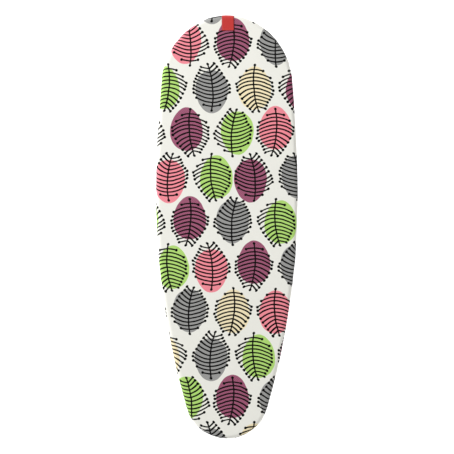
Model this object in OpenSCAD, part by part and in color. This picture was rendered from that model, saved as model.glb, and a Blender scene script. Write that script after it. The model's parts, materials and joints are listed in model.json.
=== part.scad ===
// Folding ironing board: padded mesh top on a crossed pair of tubular leg frames.
// Millimetres, +Z up, floor at z = 0, +X towards the wide end, origin under the middle of the top.
// Each sub-part is one module; "node" picks one of them or "all".

/* [View] */
// Sub-part to draw, or "all"

/* [Outline] */
// Radii of the half outline's tangent arcs, from the wide end's tip; the nose radius follows
arc_radii = [170.5, 205.9, 4574.7, 2192.9]; // four radii, each 100:5000
// Direction in which each arc ends, in degrees away from the wide end
arc_ends = [30.15, 85.12, 88.51, 106.3]; // four angles, rising, 10:120
// Straight segments used to draw each arc, nose arc last
arc_steps = [7, 13, 4, 8, 16]; // five whole numbers, each 2:40

/* [Top] */
// Height of the ironing surface above the floor
top_height = 884; // [700:1:1000]
// Cover fabric thickness
cover_thickness = 1.0; // [0.5:0.1:2]
// Pad thickness on top
pad_thickness = 6; // [3:0.5:12]
// Pad thickness round the edge
edge_pad_thickness = 5; // [2:0.5:8]
// Steel plate thickness
plate_thickness = 1.0; // [0.6:0.1:2]
// How far the cover's hem turns under the top
hem_width = 30; // [20:1:60]
// Width of the elastic tape on the hem
tape_width = 7; // [4:1:12]
// Thickness of the elastic tape
tape_thickness = 1.2; // [0.6:0.1:2]
// Tag width
tag_width = 35; // [20:1:50]
// Tag length on top
tag_length = 45; // [20:1:70]
// Tag thickness
tag_thickness = 0.6; // [0.3:0.1:1.2]
// Sideways position of the tag's middle
tag_offset = -2.5; // [-20:0.5:20]

/* [Plate mesh and frame] */
// Mesh opening length, along the board
mesh_length = 52; // [20:1:80]
// Mesh opening width, across the board
mesh_width = 24; // [10:1:40]
// Distance between mesh openings along the board
mesh_pitch_x = 64; // [30:1:100]
// Distance between mesh openings across the board
mesh_pitch_y = 32; // [14:1:60]
// Plain margin kept round the mesh
mesh_margin = 20; // [12:1:40]
// Rim strip height
rim_height = 16; // [10:1:30]
// Rim sheet thickness
rim_sheet = 1.2; // [0.8:0.1:2]
// Width of the rim's inward flange
rim_flange = 10; // [6:1:20]
// Cross rib positions along the board
rib_stations = [545, 400, 230, 60, -140, -340, -470]; // list of positions, each -520:560
// Cross rib width
rib_width = 20; // [12:1:40]
// Cross rib height
rib_height = 10; // [6:1:12]
// Half the distance between the rails' webs
rail_y = 62; // [50:1:72]
// Rail height
rail_height = 35; // [30:1:40]
// Rail sheet thickness
rail_sheet = 1.5; // [1:0.5:3]
// Rail flange width
rail_flange = 12; // [8:1:20]
// Rail ends, nose end then wide end
rail_ends = [-520, 505]; // two positions, each -540:540

/* [Leg frames] */
// Angle of the legs to the floor as the board stands
leg_angle = 50; // [40:0.5:56]
// Leg length from top pivot to foot bar
leg_length = 1077; // [900:1:1200]
// Distance from top pivot to the centre pivot
leg_to_centre = 485; // [400:1:520]
// Leg tube radius
tube_r = 11; // [8:0.5:14]
// Tube wall thickness
tube_wall = 1.2; // [0.8:0.1:2]
// Position of the fixed pivots along the board
pivot_x = 472; // [440:1:480]
// Depth of the pivots below the plate
pivot_drop = 36; // [34:1:40]
// Half spread of the outer legs
outer_y = 121; // [118:1:126]
// Half spread of the inner legs
inner_y = 92; // [86:1:96]
// Height of the foot bars' axes above the floor
foot_bar_height = 15; // [13:0.5:20]
// Half length of the outer foot bar with its caps
outer_foot_half = 170; // [150:1:220]
// Half length of the inner foot bar with its caps
inner_foot_half = 180; // [150:1:220]
// Foot cap radius
foot_cap_r = 16; // [14:0.5:20]
// Foot cap length
foot_cap_length = 30; // [20:1:50]
// Pivot pin and bolt radius
pin_r = 4; // [3:0.5:6]
// Slider rod radius
slider_r = 5; // [4:0.5:7]
// Brace tube radius
crossbar_r = 7; // [5:0.5:9]
// Distance of the brace tube from the inner legs' top ends
crossbar_station = 820; // [500:1:1000]

/* [Height latch] */
// Leg angles that have a notch
notch_angles = [55, 50, 47, 44, 41, 38]; // list of angles, each 30:56
// Latch hinge position along the board
latch_x = -500; // [-510:1:-480]
// Latch hinge depth below the plate
latch_drop = 22; // [18:1:24]
// How far the latch bar turns up, in degrees
latch_swing = 1.7; // [1:0.1:2]
// Latch bar width
latch_width = 12; // [6:1:20]
// Lever rod position along the board
lever_x = -55; // [-60:1:-40]
// Lever rod radius
lever_r = 3; // [2:0.5:4]
// Lever grip sideways position
grip_y = -148; // [-150:1:-144]
// Lever grip depth below the plate
grip_drop = 34; // [30:1:40]
// Lever grip radius
grip_r = 8; // [6:0.5:10]
// Lever grip length
grip_length = 62; // [40:1:80]

/* [Clearances] */
// Radial gap of a turning fit
running_gap = 0.05; // [0.02:0.01:0.1]
// Gap between parts that move past each other
moving_gap = 0.3; // [0.2:0.05:1]

/* [Hidden] */
$fn = 72;
eps = 0.5;

// Paint and fabric colours
steel_grey = [0.78, 0.79, 0.80];
frame_silver = [0.72, 0.73, 0.75];
bright_zinc = [0.62, 0.63, 0.65];
cap_grey = [0.20, 0.21, 0.22];
felt_white = [0.88, 0.86, 0.80];
cover_white = [0.93, 0.92, 0.90];
tape_white = [0.90, 0.90, 0.88];
tag_red = [0.78, 0.16, 0.15];

// Outline arcs: directions at their starts, and the nose arc that closes them
arc_starts = [0, arc_ends[0], arc_ends[1], arc_ends[2]];
sine_steps = [for (i = [0:3]) sin(arc_ends[i]) - sin(arc_starts[i])];
cosine_steps = [for (i = [0:3]) cos(arc_ends[i]) - cos(arc_starts[i])];
nose_radius = arc_radii * sine_steps / sin(arc_ends[3]);
radii = concat(arc_radii, [nose_radius]);
starts = concat(arc_starts, [arc_ends[3]]);
ends = concat(arc_ends, [180]);
top_length = nose_radius * (1 + cos(arc_ends[3])) - arc_radii * cosine_steps;
tip_x = top_length / 2;

// Point where arc i begins on the outline grown outwards by d
function arc_begin(i, d) =
  i == 0 ? [tip_x + d, 0]
         : arc_begin(i - 1, d) + (radii[i - 1] + d) * [
             cos(ends[i - 1]) - cos(starts[i - 1]),
             sin(ends[i - 1]) - sin(starts[i - 1])
           ];
function arc_point(i, a, d) =
  arc_begin(i, d) + (radii[i] + d) * [cos(a) - cos(starts[i]), sin(a) - sin(starts[i])];
function half_outline(d) = [
  for (i = [0:4], s = [0:arc_steps[i] - 1])
    arc_point(i, starts[i] + (ends[i] - starts[i]) * s / arc_steps[i], d)
];
function outline(d) =
  let (half = half_outline(d), n = len(half))
  concat(
    half,
    [arc_point(4, 180, d)],
    [for (k = [n - 1:-1:1]) [half[k][0], -half[k][1]]]
  );
// Half width of the top at x, for the outline grown by d
function half_width(x, d) =
  let (half = concat(half_outline(d), [arc_point(4, 180, d)]))
  lookup(-x, [for (p = half) [-p[0], p[1]]]);

// Levels
cover_top = top_height;
pad_top = cover_top - cover_thickness;
plate_top = pad_top - pad_thickness;
plate_z = plate_top - plate_thickness;
rim_bottom = plate_z - rim_height;
hem_bottom = rim_bottom - cover_thickness;
rail_top = plate_z - rib_height;
axle_z = plate_z - pivot_drop;

// Outline insets, all from the outside of the cover
pad_inset = -cover_thickness;
plate_inset = pad_inset - edge_pad_thickness;

// Leg linkage as the board stands
slider_x = pivot_x - 2 * leg_to_centre * cos(leg_angle);
folded_slider_x = pivot_x - 2 * leg_to_centre;
highest_slider_x = pivot_x - 2 * leg_to_centre * cos(notch_angles[0]);
leg_overrun = 14;
plug_length = 3;
rod_half = inner_y + tube_r;
ear_thickness = 2;
ear_gap = 1.5;
ear_inner = outer_y - tube_r - ear_gap - ear_thickness;
ear_outer = outer_y + tube_r + ear_gap;
ear_r = 14;
bracket_half = 25;
bracket_hole_r = 2.5;
bracket_hole_x = 18;
head_r = 7;
head_length = 3;

// Latch
latch_z = plate_z - latch_drop;
tooth_z = axle_z + slider_r + 0.6;
latch_top_z = plate_z - 16;
latch_end_x = lever_x + 10;
lever_z = plate_z - 21;
grip_z = plate_z - grip_drop;
hub_r = 8;
lever_notch = 4;
rib_gap = rail_y - rail_flange - 10;

// Cylinder of radius r along Y, from y0 to y1
module rod_y(r, y0, y1) {
  translate([0, min(y0, y1), 0])
    rotate([-90, 0, 0])
      cylinder(r = r, h = abs(y1 - y0));
}

// Cylinder of radius r along X, from x0 to x1
module rod_x(r, x0, x1) {
  translate([min(x0, x1), 0, 0])
    rotate([0, 90, 0])
      cylinder(r = r, h = abs(x1 - x0));
}

// Box between two opposite corners
module block(low, high) {
  translate(low)
    cube(high - low);
}

// Left side as drawn, right side mirrored
module on_side(s) {
  if (s > 0)
    children();
  else
    mirror([0, 1, 0])
      children();
}

// Upright slab of the top's outline grown by d
module top_slab(d, z0, z1) {
  translate([0, 0, z0])
    linear_extrude(z1 - z0)
      polygon(outline(d));
}

// Upright ring between two outlines
module top_ring(outer, inner, z0, z1) {
  difference() {
    top_slab(outer, z0, z1);
    top_slab(inner, z0 - eps, z1 + eps);
  }
}

// Puts local X along the outer legs, from the pivots down
module on_outer_legs() {
  translate([pivot_x, 0, axle_z])
    rotate([0, 180 - leg_angle, 0])
      children();
}

// Puts local X along the inner legs, from the slider down
module on_inner_legs() {
  translate([slider_x, 0, axle_z])
    rotate([0, leg_angle, 0])
      children();
}

// Perforated plate
module mesh_plate() {
  columns = floor(top_length / mesh_pitch_x);
  rows = floor(half_width(0, 0) / (mesh_pitch_y / 2));
  color(steel_grey)
    translate([0, 0, plate_z])
      linear_extrude(plate_thickness)
        difference() {
          polygon(outline(plate_inset));
          for (i = [-columns:columns], j = [-rows:rows])
            if ((i + j) % 2 == 0)
              mesh_opening(i * mesh_pitch_x / 2, j * mesh_pitch_y / 2);
        }
}

// One diamond opening, left out where it would cut the margin
module mesh_opening(x, y) {
  tip = plate_inset - mesh_margin;
  clear_tips = abs(x) + mesh_length / 2 < top_length / 2 + tip;
  clear_sides = min(half_width(x - mesh_length / 2, tip), half_width(x + mesh_length / 2, tip)) > abs(y)
    && half_width(x, tip) > abs(y) + mesh_width / 2;
  if (clear_tips && clear_sides)
    translate([x, y])
      polygon([[mesh_length / 2, 0], [0, mesh_width / 2], [-mesh_length / 2, 0], [0, -mesh_width / 2]]);
}

// Edge strip with an inward flange
module rim() {
  color(steel_grey) {
    top_ring(plate_inset, plate_inset - rim_sheet, rim_bottom, plate_z);
    top_ring(plate_inset - rim_sheet, plate_inset - rim_flange, rim_bottom, rim_bottom + rim_sheet);
  }
}

// Channels across the underside, open in the middle where the latch bar rises
module cross_ribs() {
  inset = plate_inset - rim_sheet - running_gap;
  beyond = top_length / 4;
  half = rib_width / 2;
  color(steel_grey)
    for (x = rib_stations) {
      latch_reaches = x < latch_end_x && latch_top_z + (x - latch_x) * tan(latch_swing) > rail_top - 1;
      difference() {
        intersection() {
          top_slab(inset, rail_top, plate_z);
          block([x - half, -beyond, rail_top - eps], [x + half, beyond, plate_z + eps]);
        }
        block(
          [x - half + rim_sheet, -beyond, rail_top + rim_sheet],
          [x + half - rim_sheet, beyond, plate_z + eps]
        );
        if (latch_reaches)
          block([x - rib_width, -rib_gap, rail_top - eps], [x + rib_width, rib_gap, plate_z + eps]);
      }
    }
}

// Slide rail on the side given by s (+1 left, -1 right)
module rail(s) {
  z0 = rail_top - rail_height;
  y_out = rail_y + rail_sheet;
  y_in = rail_y - rail_flange;
  slot_low = folded_slider_x - 1;
  slot_high = highest_slider_x + 1;
  slot_half = slider_r + 0.2;
  slot_end_r = slot_half + 0.1;
  color(frame_silver)
    on_side(s)
      difference() {
        block([rail_ends[0], y_in, z0], [rail_ends[1], y_out, rail_top]);
        block(
          [rail_ends[0] - eps, y_in - eps, z0 + rail_sheet],
          [rail_ends[1] + eps, rail_y, rail_top - rail_sheet]
        );
        // slot for the slider rod, its ends a little fuller than its sides
        block(
          [slot_low, y_in - 1, axle_z - slot_half],
          [slot_high, y_out + 1, axle_z + slot_half]
        );
        for (x = [slot_low, slot_high])
          translate([x, 0, axle_z])
            rod_y(slot_end_r, y_in - 1, y_out + 1);
        // notch in which the lever rod rises
        block(
          [lever_x - lever_r - lever_notch, y_in - eps, lever_z - lever_r - lever_notch / 2],
          [lever_x + lever_r + lever_notch, y_out + 1, rail_top + eps]
        );
        // latch pin hole
        translate([latch_x, 0, latch_z])
          rod_y(pin_r, y_in - 1, y_out + 1);
      }
}

module rail_left() rail(1);
module rail_right() rail(-1);

// Plate that ties the rails together, from x0 outwards
module rail_tie(x0, s) {
  half = rail_y + rail_sheet;
  color(frame_silver)
    difference() {
      block(
        [min(x0, x0 + s * rail_sheet), -half, rail_top - rail_height],
        [max(x0, x0 + s * rail_sheet), half, rail_top]
      );
      for (y = [-half / 2, half / 2])
        translate([x0, y, rail_top - rail_height / 2])
          rod_x(rail_height / 5, -5, 5);
    }
}

module rail_tie_wide() rail_tie(rail_ends[1], 1);
module rail_tie_nose() rail_tie(rail_ends[0], -1);

// Clevis that carries an outer leg's pivot pin
module pivot_bracket(s) {
  color(frame_silver)
    on_side(s)
      difference() {
        union() {
          block(
            [pivot_x - bracket_half, ear_inner, plate_z - ear_thickness],
            [pivot_x + bracket_half, ear_outer + ear_thickness, plate_z]
          );
          for (y = [ear_inner, ear_outer]) {
            block([pivot_x - ear_r, y, axle_z], [pivot_x + ear_r, y + ear_thickness, plate_z - ear_thickness / 2]);
            translate([pivot_x, 0, axle_z])
              rod_y(ear_r, y, y + ear_thickness);
          }
        }
        translate([pivot_x, 0, axle_z])
          rod_y(pin_r, ear_inner - 1, ear_outer + ear_thickness + 1);
        for (x = [-bracket_hole_x, bracket_hole_x])
          translate([pivot_x + x, outer_y, plate_z - ear_thickness - 1])
            cylinder(r = bracket_hole_r, h = ear_thickness + 2);
      }
}

module pivot_bracket_left() pivot_bracket(1);
module pivot_bracket_right() pivot_bracket(-1);

// Headed pin through the bracket's ears and the leg's top end
module pivot_pin(s) {
  color(bright_zinc)
    on_side(s)
      translate([pivot_x, 0, axle_z]) {
        rod_y(pin_r, ear_inner - 1, ear_outer + ear_thickness + 1);
        rod_y(head_r, ear_outer + ear_thickness, ear_outer + ear_thickness + head_length);
        rod_y(pin_r + 1.5, ear_inner - 1.5, ear_inner);
      }
}

module pivot_pin_left() pivot_pin(1);
module pivot_pin_right() pivot_pin(-1);

// Pin across the rails on which the latch bar turns, with two collars
module latch_pin() {
  half = rail_y + rail_sheet;
  collar = latch_width / 2 + moving_gap;
  color(bright_zinc)
    translate([latch_x, 0, latch_z]) {
      rod_y(pin_r, -half - 1, half + 1);
      for (s = [-1, 1]) {
        rod_y(pin_r + 2.5, s * collar, s * (collar + 4));
        rod_y(pin_r + 2, s * half, s * (half + 2));
      }
    }
}

module foam_pad() {
  color(felt_white)
    top_slab(pad_inset, plate_top, pad_top);
}

module edge_padding() {
  color(felt_white)
    top_ring(pad_inset, plate_inset, rim_bottom, plate_top);
}

// Fabric cover: top, side and turned-under hem
module cover() {
  color(cover_white)
    difference() {
      top_slab(0, hem_bottom, cover_top);
      top_slab(pad_inset, rim_bottom, pad_top);
      top_slab(-hem_width, hem_bottom - eps, rim_bottom + eps);
    }
}

// Elastic tape sewn under the hem's inner edge
module hem_binding() {
  color(tape_white)
    top_ring(-hem_width + tape_width, -hem_width, hem_bottom - tape_thickness, hem_bottom);
}

// Tag folded over the wide end
module label_tag() {
  t = tag_thickness;
  x_edge = tip_x + 0.1;
  x_top = tip_x - tag_length;
  x_under = tip_x - hem_width + tape_width + 3;
  y0 = tag_offset - tag_width / 2;
  y1 = tag_offset + tag_width / 2;
  color(tag_red) {
    block([x_top, y0, cover_top], [x_edge + t, y1, cover_top + t]);
    block([x_edge, y0, hem_bottom - t], [x_edge + t, y1, cover_top + t]);
    block([x_under, y0, hem_bottom - t], [x_edge + t, y1, hem_bottom]);
  }
}

// Leg tube at y, with its end holes, fish-mouthed to the foot bar
module leg_tube(y, top_hole_r, centre_hole_r) {
  difference() {
    translate([0, y, 0])
      rod_x(tube_r, -leg_overrun, leg_length);
    translate([0, y, 0])
      rod_x(tube_r - tube_wall, -leg_overrun - 1, leg_length + 1);
    translate([leg_length, 0, 0])
      rod_y(tube_r + running_gap, y - tube_r - 5, y + tube_r + 5);
    rod_y(top_hole_r, y - tube_r - 1, y + tube_r + 1);
    translate([leg_to_centre, 0, 0])
      rod_y(centre_hole_r, y - tube_r - 1, y + tube_r + 1);
  }
}

module outer_leg(s) {
  color(frame_silver)
    on_outer_legs()
      leg_tube(s * outer_y, pin_r + running_gap, pin_r);
}

module outer_leg_left() outer_leg(1);
module outer_leg_right() outer_leg(-1);

module inner_leg(s) {
  color(frame_silver)
    on_inner_legs()
      leg_tube(s * inner_y, slider_r, pin_r + running_gap);
}

module inner_leg_left() inner_leg(1);
module inner_leg_right() inner_leg(-1);

// Plastic plugs in the tubes' top ends
module leg_plugs(y_half) {
  color(cap_grey)
    for (s = [-1, 1])
      translate([0, s * y_half, 0]) {
        rod_x(tube_r, -leg_overrun - plug_length, -leg_overrun);
        rod_x(tube_r - tube_wall, -leg_overrun, -leg_overrun + 6);
      }
}

module outer_leg_plugs() on_outer_legs() leg_plugs(outer_y);
module inner_leg_plugs() on_inner_legs() leg_plugs(inner_y);

// Hollow foot bar across the ends of a leg frame
module foot_bar(half) {
  color(frame_silver)
    translate([leg_length, 0, 0])
      difference() {
        rod_y(tube_r, -half, half);
        rod_y(tube_r - tube_wall, -half - 1, half + 1);
      }
}

module outer_foot_bar() on_outer_legs() foot_bar(outer_foot_half - 4);
module inner_foot_bar() on_inner_legs() foot_bar(inner_foot_half - 4);

// Rubber cap with a flat sole, on the foot bar whose axis is at x
module foot_cap(x, half, s) {
  y_in = half - foot_cap_length;
  color(cap_grey)
    on_side(s)
      difference() {
        translate([x, 0, foot_bar_height]) {
          rod_y(foot_cap_r, y_in, half - 2);
          rod_y(foot_cap_r - 2, half - 2, half);
          rod_y(foot_cap_r - 2, y_in - 2, y_in);
        }
        translate([x, 0, foot_bar_height])
          rod_y(tube_r + running_gap, y_in - 3, half - 4);
        block([x - 30, y_in - 10, -10], [x + 30, half + 10, 0]);
      }
}

outer_foot_x = pivot_x - leg_length * cos(leg_angle);
inner_foot_x = slider_x + leg_length * cos(leg_angle);
module outer_foot_cap_left() foot_cap(outer_foot_x, outer_foot_half, 1);
module outer_foot_cap_right() foot_cap(outer_foot_x, outer_foot_half, -1);
module inner_foot_cap_left() foot_cap(inner_foot_x, inner_foot_half, 1);
module inner_foot_cap_right() foot_cap(inner_foot_x, inner_foot_half, -1);

// Bolt on which the two leg frames cross
module centre_bolt(s) {
  color(bright_zinc)
    on_side(s)
      on_outer_legs()
        translate([leg_to_centre, 0, 0]) {
          rod_y(pin_r, inner_y - tube_r - 6, outer_y + tube_r + 1);
          rod_y(head_r, outer_y + tube_r, outer_y + tube_r + head_length);
        }
}

module centre_bolt_left() centre_bolt(1);
module centre_bolt_right() centre_bolt(-1);

module centre_nuts() {
  y_face = inner_y - tube_r - moving_gap;
  color(bright_zinc)
    on_outer_legs()
      translate([leg_to_centre, 0, 0])
        for (s = [-1, 1])
          difference() {
            translate([0, s * (y_face - 2), 0])
              rotate([90, 0, 0])
                cylinder(r = head_r + 0.5, h = 4, $fn = 6, center = true);
            rod_y(pin_r, s * (y_face - 5), s * (y_face + 1));
          }
}

module centre_spacers() {
  color(cap_grey)
    on_outer_legs()
      translate([leg_to_centre, 0, 0])
        for (s = [-1, 1])
          difference() {
            rod_y(head_r + 1.5, s * (inner_y + tube_r + moving_gap), s * (outer_y - tube_r));
            rod_y(pin_r, s * (inner_y + tube_r - 1), s * (outer_y - tube_r + 1));
          }
}

// Brace under the inner legs, on the side away from the board when folded
module inner_crossbar() {
  half = inner_y + tube_r - 4;
  color(frame_silver)
    on_inner_legs()
      translate([crossbar_station, 0, -tube_r - crossbar_r])
        difference() {
          rod_y(crossbar_r, -half, half);
          rod_y(crossbar_r - tube_wall, -half - 1, half + 1);
        }
}

// Rod that slides in the rails' slots
module slider_rod() {
  color(bright_zinc)
    on_inner_legs() {
      rod_y(slider_r, -rod_half - 1.5, rod_half + 1.5);
      for (s = [-1, 1])
        rod_y(slider_r + 2, s * rod_half, s * (rod_half + 2));
    }
}

// Plastic bushes between the rails and the inner legs
module slider_bushes() {
  y0 = rail_y + rail_sheet + moving_gap;
  y1 = inner_y - tube_r;
  color(cap_grey)
    on_inner_legs()
      for (s = [-1, 1])
        difference() {
          rod_y(slider_r + 3, s * y0, s * y1);
          rod_y(slider_r, s * (y0 - 1), s * (y1 + 1));
        }
}

// Notched bar that sets the height
module latch_bar() {
  color(bright_zinc)
    difference() {
      union() {
        block([latch_x, -latch_width / 2, tooth_z], [latch_end_x, latch_width / 2, latch_top_z]);
        translate([latch_x, 0, latch_z])
          rod_y(hub_r, -latch_width / 2, latch_width / 2);
      }
      for (a = notch_angles)
        translate([pivot_x - 2 * leg_to_centre * cos(a), 0, tooth_z - 1.5])
          rod_y(slider_r + 1, -20, 20);
      translate([latch_x, 0, latch_z])
        rod_y(pin_r + running_gap, -20, 20);
      translate([lever_x, 0, lever_z])
        rod_y(lever_r, -20, 20);
    }
}

// Rod from the latch bar out to the grip at one side
module lever_wire() {
  grip_end = lever_x + grip_length + 12;
  color(bright_zinc) {
    translate([lever_x, 0, lever_z])
      rod_y(lever_r, grip_y, latch_width / 2 + 5);
    translate([lever_x, grip_y, lever_z])
      sphere(r = lever_r);
    translate([lever_x, grip_y, grip_z])
      cylinder(r = lever_r, h = lever_z - grip_z);
    translate([lever_x, grip_y, grip_z])
      sphere(r = lever_r);
    translate([0, grip_y, grip_z])
      rod_x(lever_r, lever_x, grip_end);
  }
}

// Plastic grip pushed over the rod's end
module lever_grip() {
  x0 = lever_x + 14;
  color(cap_grey)
    translate([0, grip_y, grip_z])
      difference() {
        union() {
          rod_x(grip_r, x0, x0 + grip_length);
          translate([x0 + grip_length, 0, 0])
            sphere(r = grip_r);
        }
        rod_x(lever_r, x0 - 1, lever_x + grip_length + 12);
      }
}

mesh_plate();
rim();
cross_ribs();
rail_left();
rail_right();
rail_tie_wide();
rail_tie_nose();
pivot_bracket_left();
pivot_bracket_right();
pivot_pin_left();
pivot_pin_right();
latch_pin();
foam_pad();
edge_padding();
cover();
hem_binding();
label_tag();
outer_leg_left();
outer_leg_right();
outer_leg_plugs();
outer_foot_bar();
outer_foot_cap_left();
outer_foot_cap_right();
centre_bolt_left();
centre_bolt_right();
centre_nuts();
centre_spacers();
inner_leg_left();
inner_leg_right();
inner_leg_plugs();
inner_foot_bar();
inner_foot_cap_left();
inner_foot_cap_right();
inner_crossbar();
slider_rod();
slider_bushes();
latch_bar();
lever_wire();
lever_grip();
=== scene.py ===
"""Looks for the ironing board: printed cover, felt pad, tag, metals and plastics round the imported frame."""
import json
import math

import bpy
import numpy as np
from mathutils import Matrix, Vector


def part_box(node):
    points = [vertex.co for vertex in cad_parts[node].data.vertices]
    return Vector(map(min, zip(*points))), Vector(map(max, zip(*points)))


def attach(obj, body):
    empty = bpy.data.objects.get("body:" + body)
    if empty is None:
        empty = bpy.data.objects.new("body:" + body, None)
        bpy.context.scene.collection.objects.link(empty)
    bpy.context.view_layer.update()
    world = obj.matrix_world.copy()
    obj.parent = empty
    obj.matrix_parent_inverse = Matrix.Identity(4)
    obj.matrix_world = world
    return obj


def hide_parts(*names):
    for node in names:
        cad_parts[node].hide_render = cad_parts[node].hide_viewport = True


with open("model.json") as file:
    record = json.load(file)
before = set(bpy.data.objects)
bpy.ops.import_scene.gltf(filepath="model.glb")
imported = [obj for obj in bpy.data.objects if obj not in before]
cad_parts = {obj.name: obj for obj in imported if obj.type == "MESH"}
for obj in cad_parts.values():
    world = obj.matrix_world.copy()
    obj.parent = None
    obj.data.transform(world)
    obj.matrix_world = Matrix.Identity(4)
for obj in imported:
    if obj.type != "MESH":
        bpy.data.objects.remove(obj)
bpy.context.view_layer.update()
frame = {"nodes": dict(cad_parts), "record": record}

MM = 0.001
FLAT_MAP = "fabric_flat"

# ---------------------------------------------------------------- outline, as in the CAD part
ARC_RADII = [170.5 * MM, 205.9 * MM, 4574.7 * MM, 2192.9 * MM]
ARC_ENDS = [math.radians(a) for a in (30.15, 85.12, 88.51, 106.3)]
TIP_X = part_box("cover")[1].x
TOP_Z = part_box("cover")[1].z
HEM_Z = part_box("cover")[0].z
PAD_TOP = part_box("foam_pad")[1].z
PLATE_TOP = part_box("foam_pad")[0].z
RIM_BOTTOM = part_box("rim")[0].z
TAG_LOW, TAG_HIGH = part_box("label_tag")
HEM_WIDTH = 30 * MM
TAPE_WIDTH = 7 * MM
# Points round the outline
AROUND = 440
# The middle line to which the top's rings shrink stops this far from the nose and from the wide end
SPINE_TO_NOSE = 115 * MM
SPINE_TO_WIDE_END = 165 * MM


def arc_chain():
    """The half outline's arcs as (radius, start angle, end angle). The nose arc is worked out so that the
    outline closes on the middle line."""
    starts = [0.0] + ARC_ENDS[:-1]
    reach = sum(r * (math.sin(b) - math.sin(a)) for r, a, b in zip(ARC_RADII, starts, ARC_ENDS))
    nose = reach / math.sin(ARC_ENDS[-1])
    return list(zip(ARC_RADII + [nose], starts + [ARC_ENDS[-1]], ARC_ENDS + [math.pi]))


def along_arc(radius, start, end):
    """The step from one angle to another on an arc."""
    return radius * np.array([math.cos(end) - math.cos(start), math.sin(end) - math.sin(start)])


def outline(count):
    """Evenly spaced points round the cover's outline, as arrays of places, outward normals and curvatures."""
    arcs = arc_chain()
    lengths = [r * (b - a) for r, a, b in arcs]
    half = count // 2
    place, normal, bend = [], [], []
    for k in range(half + 1):
        left = sum(lengths) * k / half
        corner = np.array([TIP_X, 0.0])
        for (r, a, b), length in zip(arcs, lengths):
            if left <= length + 1e-9:
                break
            corner = corner + along_arc(r, a, b)
            left -= length
        turn = a + min(left / r, b - a)
        place.append(corner + along_arc(r, a, turn))
        normal.append([math.cos(turn), math.sin(turn)])
        bend.append(1 / r)
    place, normal, bend = np.array(place), np.array(normal), np.array(bend)
    flip = np.array([1.0, -1.0])
    back = slice(half - 1, 0, -1)
    return (
        np.vstack([place, place[back] * flip]),
        np.vstack([normal, normal[back] * flip]),
        np.concatenate([bend, bend[back]]),
    )


PLACE, NORMAL, BEND = outline(AROUND)
SPINE = np.zeros_like(PLACE)
SPINE[:, 0] = np.clip(PLACE[:, 0], PLACE[:, 0].min() + SPINE_TO_NOSE, TIP_X - SPINE_TO_WIDE_END)
PERIMETER = float(np.linalg.norm(PLACE - np.roll(PLACE, 1, axis=0), axis=1).sum())
ALONG = np.arange(AROUND) / AROUND * 2 * math.pi


def smooth_ring(values, reach):
    """Values round the outline, averaged over reach samples to each side."""
    return sum(np.roll(values, k) for k in range(-reach, reach + 1)) / (2 * reach + 1)


# How strongly the hem is gathered: fully where the outline turns with this radius or a smaller one, and
# least on the straight sides, blended over some points to each side
TIGHT_TURN = 150 * MM
LEAST_GATHER = 0.12
GATHER_BLEND = 14
GATHER = smooth_ring(np.clip(BEND * TIGHT_TURN, LEAST_GATHER, 1.0), GATHER_BLEND)


def gathers(seed, harmonics):
    """A wave round the outline from -1 to 1, of several whole numbers of folds with random phases."""
    rng = np.random.default_rng(seed)
    wave = sum(np.sin(n * ALONG + rng.uniform(0, 2 * math.pi)) for n in harmonics)
    return wave / np.abs(wave).max()


FOLDS = gathers(3, (47, 61, 76, 90))
SLOW_FOLDS = gathers(8, (13, 21, 34))


# ---------------------------------------------------------------- meshes
def new_object(name, points, faces, uv=None):
    """A smooth-shaded mesh object. uv holds one pair for each vertex."""
    mesh = bpy.data.meshes.new(name)
    mesh.from_pydata([tuple(map(float, p)) for p in points], [], faces)
    if uv is not None:
        layer = mesh.uv_layers.new(name=FLAT_MAP)
        loop_vertices = np.zeros(len(mesh.loops), np.int32)
        mesh.loops.foreach_get("vertex_index", loop_vertices)
        layer.data.foreach_set("uv", np.asarray(uv, np.float32)[loop_vertices].ravel())
    mesh.polygons.foreach_set("use_smooth", [True] * len(mesh.polygons))
    mesh.update()
    piece = bpy.data.objects.new(name, mesh)
    bpy.context.scene.collection.objects.link(piece)
    return piece


def thicken(piece, thickness, side):
    """Gives a sheet its thickness: all inwards where side is -1, shared equally where it is 0."""
    modifier = piece.modifiers.new("thickness", "SOLIDIFY")
    modifier.thickness = thickness
    modifier.offset = side


def rings(count):
    """Quads between count rows of AROUND points each, closed round the outline."""
    faces = []
    for a in range(0, (count - 1) * AROUND, AROUND):
        b = a + AROUND
        for i in range(AROUND):
            j = (i + 1) % AROUND
            faces.append((a + i, a + j, b + j, b + i))
    return faces


def at_offset(d, z):
    """One ring: the outline moved outwards by d, at height z. Both may vary round the outline."""
    d = np.broadcast_to(d, AROUND)[:, None]
    z = np.broadcast_to(z, AROUND)[:, None]
    return np.hstack([PLACE + NORMAL * d, z])


def towards_spine(ring, share):
    """A ring moved towards the middle line by share, 0 to 1."""
    flat = ring[:, :2] * (1 - share) + SPINE * share
    return np.hstack([flat, ring[:, 2:]])


# Points closer than this are taken as one
SAME_PLACE = 1e-7


def close_spine(points, faces, row):
    """Joins each point of the row on the middle line to its mirror, so the surface has no slit there."""
    first = row * AROUND
    twin = {first + i: first + (AROUND - i) % AROUND for i in range(AROUND // 2 + 1, AROUND)}
    ends = np.ptp(points[first:first + AROUND, 0])
    tip = points[first, 0]
    for i in range(AROUND // 2 + 1):
        if tip - points[first + i, 0] < SAME_PLACE:
            twin[first + i] = first
        if points[first + i, 0] - (tip - ends) < SAME_PLACE:
            twin[first + i] = first + AROUND // 2
    joined = []
    for face in faces:
        corners = []
        for v in face:
            # twice, because a point's mirror may itself be joined to an end of the middle line
            v = twin.get(v, v)
            v = twin.get(v, v)
            if v not in corners:
                corners.append(v)
        if len(corners) > 2:
            joined.append(tuple(corners))
    return joined


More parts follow.
